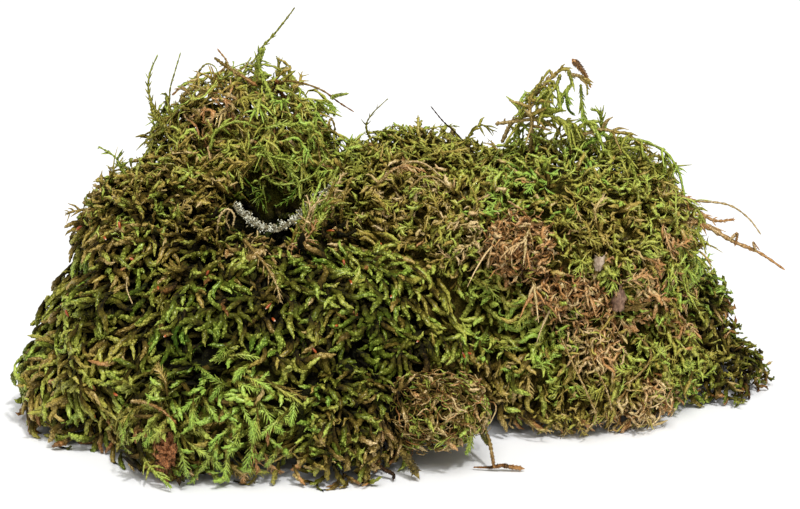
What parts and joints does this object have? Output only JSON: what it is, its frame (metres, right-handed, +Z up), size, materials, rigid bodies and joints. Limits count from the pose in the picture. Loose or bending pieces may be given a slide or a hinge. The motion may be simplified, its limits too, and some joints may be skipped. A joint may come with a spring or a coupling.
{
  "type": "moss clump",
  "caption": "Clump of woodland moss lying as gathered: a mound of leafy cushions on a thatch of old stems, with a nest-like hollow, withered patches, a lichen crust and loose sprigs.",
  "frame": {"origin": "centre of the flat underside, on the surface that the clump lies on", "axes": "+X runs along the clump to the right, -Y is the front with the mouth of the hollow, +Z is up"},
  "size_m": [0.2474, 0.1496, 0.1251],
  "materials": {
    "humus": "matt, crumbly",
    "live_green": "soft, faintly glossy leaf tips",
    "fresh_green": "soft, faintly glossy leaf tips",
    "olive": "soft and matt",
    "pale_green": "soft and matt",
    "dead_brown": "dry and matt",
    "straw": "dry and matt",
    "root_grey": "dry and matt",
    "bark": "rough and matt",
    "leaf_litter": "dry and papery",
    "lichen": "dry, rough and matt"
  },
  "bodies": {
    "root": {"thatch_pad": "humus", "front_cushion": "live_green", "left_lobe": "live_green", "back_cushion": "live_green", "front_tuft": "fresh_green", "right_shoulder": "fresh_green", "front_foot": "olive", "right_lobe": "olive", "crown_tuft": "pale_green", "withered_patch": "dead_brown", "straw_patch": "straw", "root_fibres": "root_grey", "bark_nugget": "bark", "litter_scale_upper": "leaf_litter", "litter_scale_lower": "leaf_litter", "lichen_crust": "lichen", "arch_sprig": "pale_green", "right_bow_sprig": "live_green", "dry_runner": "straw", "dry_branch": "straw", "twin_wisp_left": "live_green", "twin_wisp_right": "live_green", "crown_wisp": "pale_green", "bowed_wisp": "olive", "shoulder_wisp": "live_green", "ridge_wisp": "live_green", "dark_thread": "root_grey", "foot_twig": "bark", "drooping_sprig": "olive"}
  },
  "joints": []
}
